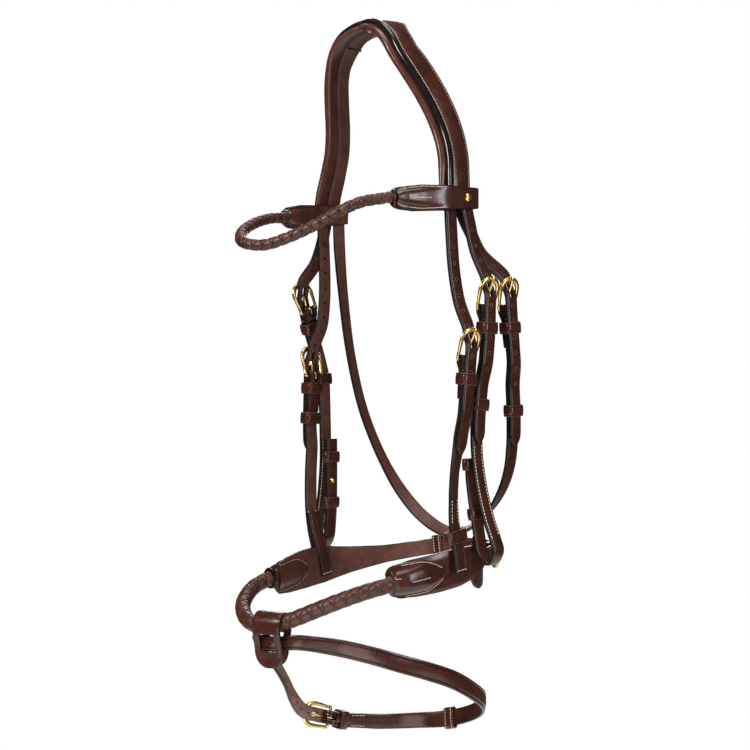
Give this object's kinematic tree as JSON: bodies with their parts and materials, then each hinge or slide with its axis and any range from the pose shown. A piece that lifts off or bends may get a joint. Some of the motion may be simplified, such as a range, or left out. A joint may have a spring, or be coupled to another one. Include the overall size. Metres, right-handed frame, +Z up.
{
  "type": "bridle headstall",
  "caption": "English leather bridle headstall with a padded crown, plaited browband, plaited noseband, flash strap and throatlash; no bit or reins.",
  "frame": {"origin": "middle of the crown's underside at the poll", "axes": "+Z up, the horse faces -Y, its left (near) side is +X"},
  "size_m": [0.226, 0.2429, 0.6617],
  "materials": {
    "leather_grain": "glossy finished grain side, dark mahogany",
    "leather_lining": "soft satin lining leather, brown",
    "leather_black_edge": "glossy rolled leather, near black",
    "brass": "polished"
  },
  "bodies": {
    "crown": {"crown_leather": "leather_grain", "crown_lining_rear": "leather_lining", "crown_lining_front": "leather_lining", "crown_piping": "leather_black_edge"},
    "browband": {"browband_plait": "leather_grain", "near_browband_end": "leather_grain", "off_browband_end": "leather_grain", "near_browband_stud": "brass"},
    "noseband": {"near_noseband_billet": "leather_grain", "off_noseband_billet": "leather_grain", "near_hanger_strap": "leather_grain", "near_hanger_buckle": "brass", "near_hanger_keeper": "leather_grain", "near_hanger_lower_keeper": "leather_grain", "off_hanger_strap": "leather_grain", "off_hanger_buckle": "brass", "off_hanger_keeper": "leather_grain", "off_hanger_lower_keeper": "leather_grain", "noseband_plait": "leather_grain", "near_noseband_panel": "leather_grain", "off_noseband_panel": "leather_grain", "near_noseband_boot": "leather_grain", "off_noseband_boot": "leather_grain", "chin_buckle": "brass", "chin_keeper": "leather_grain", "chin_guard": "leather_lining"},
    "near_cheek": {"near_cheek_billet": "leather_grain", "near_cheek_strap": "leather_grain", "near_cheek_buckle": "brass", "near_cheek_keeper": "leather_grain", "near_bit_loop_upper_keeper": "leather_grain", "near_bit_loop_lower_keeper": "leather_grain", "near_bit_loop_stud": "brass"},
    "off_cheek": {"off_cheek_billet": "leather_grain", "off_cheek_strap": "leather_grain", "off_cheek_buckle": "brass", "off_cheek_keeper": "leather_grain", "off_bit_loop_upper_keeper": "leather_grain", "off_bit_loop_lower_keeper": "leather_grain", "off_bit_loop_stud": "brass"},
    "throatlash": {"near_throat_billet": "leather_grain", "throatlash_strap": "leather_grain", "throatlash_buckle": "brass", "throatlash_keeper": "leather_grain"},
    "flash": {"flash_tab": "leather_grain", "flash_strap": "leather_grain", "flash_buckle": "brass", "flash_billet": "leather_grain", "flash_keeper": "leather_grain", "flash_rear_keeper": "leather_grain"},
    "near_hanger_tongue": {"near_hanger_tongue": "brass"},
    "off_hanger_tongue": {"off_hanger_tongue": "brass"},
    "near_cheek_tongue": {"near_cheek_tongue": "brass"},
    "off_cheek_tongue": {"off_cheek_tongue": "brass"},
    "throatlash_tongue": {"throatlash_tongue": "brass"},
    "chin_tongue": {"chin_tongue": "brass"},
    "flash_tongue": {"flash_tongue": "brass"},
    "near_cheek_runner": {"near_cheek_runner": "leather_grain"},
    "off_cheek_runner": {"off_cheek_runner": "leather_grain"},
    "throatlash_runner": {"throatlash_runner": "leather_grain"}
  },
  "joints": [
    {"name": "browband_slide", "type": "slide", "parent": "crown", "child": "browband", "axis": [0, 0, 1], "range_m": [-0.004, 0.003]},
    {"name": "noseband_swing", "type": "hinge", "parent": "crown", "child": "noseband", "pos_m": [0, 0.005, -0.163], "axis": [1, 0, 0], "range_deg": [-4, 0]},
    {"name": "near_cheek_swing", "type": "hinge", "parent": "crown", "child": "near_cheek", "pos_m": [0.09, 0.016, -0.163], "axis": [0, -1, 0], "range_deg": [0, 14]},
    {"name": "off_cheek_swing", "type": "hinge", "parent": "crown", "child": "off_cheek", "pos_m": [-0.09, 0.016, -0.163], "axis": [0, 1, 0], "range_deg": [0, 7]},
    {"name": "throatlash_swing", "type": "hinge", "parent": "crown", "child": "throatlash", "pos_m": [0, 0.02, -0.163], "axis": [1, 0, 0], "range_deg": [0, 12]},
    {"name": "flash_tilt", "type": "hinge", "parent": "noseband", "child": "flash", "pos_m": [-0.001, -0.1218, -0.5255], "axis": [0.9228, 0.3853, 0], "range_deg": [-6, 6]},
    {"name": "near_hanger_tongue_pin", "type": "hinge", "parent": "noseband", "child": "near_hanger_tongue", "pos_m": [0.095, 0.017, -0.298], "axis": [0, 0.9972, -0.075], "range_deg": [0, 3]},
    {"name": "off_hanger_tongue_pin", "type": "hinge", "parent": "noseband", "child": "off_hanger_tongue", "pos_m": [-0.093, -0.004, -0.312], "axis": [0, -0.9998, 0.022], "range_deg": [0, 3]},
    {"name": "near_cheek_tongue_pin", "type": "hinge", "parent": "near_cheek", "child": "near_cheek_tongue", "pos_m": [0.0955, 0.04, -0.253], "axis": [0, 0.9999, -0.01], "range_deg": [0, 3]},
    {"name": "off_cheek_tongue_pin", "type": "hinge", "parent": "off_cheek", "child": "off_cheek_tongue", "pos_m": [-0.104, -0.001, -0.25], "axis": [0, -0.9447, -0.3279], "range_deg": [0, 3]},
    {"name": "throatlash_tongue_pin", "type": "hinge", "parent": "throatlash", "child": "throatlash_tongue", "pos_m": [0.0955, 0.0665, -0.2525], "axis": [0, 0.9959, 0.09], "range_deg": [0, 3]},
    {"name": "chin_tongue_pin", "type": "hinge", "parent": "noseband", "child": "chin_tongue", "pos_m": [0.062, 0.08, -0.4715], "axis": [0, 0, 1], "range_deg": [0, 3]},
    {"name": "flash_tongue_pin", "type": "hinge", "parent": "flash", "child": "flash_tongue", "pos_m": [-0.061, -0.011, -0.631], "axis": [0.029, -0.298, -0.9541], "range_deg": [0, 3]},
    {"name": "near_cheek_runner_slide", "type": "slide", "parent": "near_cheek", "child": "near_cheek_runner", "axis": [-0.0272, -0.0888, -0.9957], "range_m": [-0.004, 0.004]},
    {"name": "off_cheek_runner_slide", "type": "slide", "parent": "off_cheek", "child": "off_cheek_runner", "axis": [0.1163, -0.0097, -0.9932], "range_m": [-0.004, 0.004]},
    {"name": "throatlash_runner_slide", "type": "slide", "parent": "throatlash", "child": "throatlash_runner", "axis": [-0.0359, 0.0535, -0.9979], "range_m": [-0.004, 0.004]}
  ]
}
